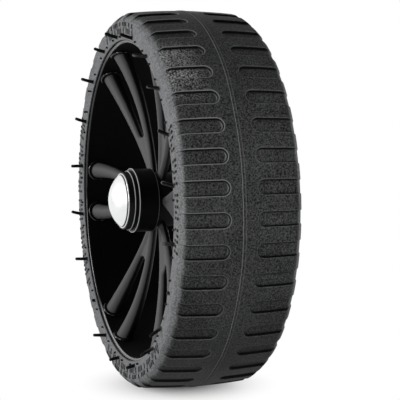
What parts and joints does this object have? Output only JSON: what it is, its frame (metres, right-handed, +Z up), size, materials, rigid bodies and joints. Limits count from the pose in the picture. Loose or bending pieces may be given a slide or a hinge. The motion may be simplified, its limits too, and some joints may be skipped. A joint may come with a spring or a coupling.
{
  "type": "wheel",
  "caption": "Wide garden machine wheel with a pocketed rubber tyre on a plastic rim with forked spokes, ball bearings and a bright hub cap.",
  "frame": {"origin": "centre of the wheel, on the axle's axis and in the middle plane of the tyre", "axes": "+Y along the axle towards the machine, so the capped outer face looks along -Y; +Z up; spins about +Y"},
  "size_m": [0.2506, 0.0866, 0.2506],
  "materials": {
    "tyre_rubber": "matte, fine grain",
    "rim_plastic": "gloss, moulded",
    "cap_plastic": "satin, moulded",
    "dome_chrome": "mirror",
    "bearing_steel": "ground",
    "ball_steel": "polished",
    "cage_steel": "pressed sheet",
    "shield_steel": "pressed sheet",
    "spring_steel": "blackened",
    "zinc_steel": "zinc plated"
  },
  "bodies": {
    "axle_side": {"spacer_tube": "zinc_steel", "front_inner_ring": "bearing_steel", "rear_inner_ring": "bearing_steel", "front_washer": "zinc_steel", "rear_washer": "zinc_steel", "push_on_fastener": "spring_steel"},
    "wheel": {"tyre": "tyre_rubber", "rim": "rim_plastic", "hub_cap": "cap_plastic", "cap_dome": "dome_chrome", "front_outer_ring": "bearing_steel", "front_shield_outer": "shield_steel", "front_shield_inner": "shield_steel", "front_circlip": "spring_steel", "rear_outer_ring": "bearing_steel", "rear_shield_outer": "shield_steel", "rear_shield_inner": "shield_steel", "rear_circlip": "spring_steel"},
    "front_ball_set": {"front_balls": "ball_steel", "front_cage": "cage_steel"},
    "rear_ball_set": {"rear_balls": "ball_steel", "rear_cage": "cage_steel"}
  },
  "joints": [
    {"name": "wheel_spin", "type": "hinge", "parent": "axle_side", "child": "wheel", "pos_m": [0, 0, 0], "axis": [0, 1, 0], "continuous": true},
    {"name": "front_balls_spin", "type": "hinge", "parent": "axle_side", "child": "front_ball_set", "pos_m": [0, -0.023, 0], "axis": [0, 1, 0], "continuous": true},
    {"name": "rear_balls_spin", "type": "hinge", "parent": "axle_side", "child": "rear_ball_set", "pos_m": [0, 0.023, 0], "axis": [0, 1, 0], "continuous": true}
  ],
  "couplings": [
    {"joint": "front_balls_spin", "follows": "wheel_spin", "ratio": 0.6322},
    {"joint": "rear_balls_spin", "follows": "wheel_spin", "ratio": 0.6322}
  ]
}
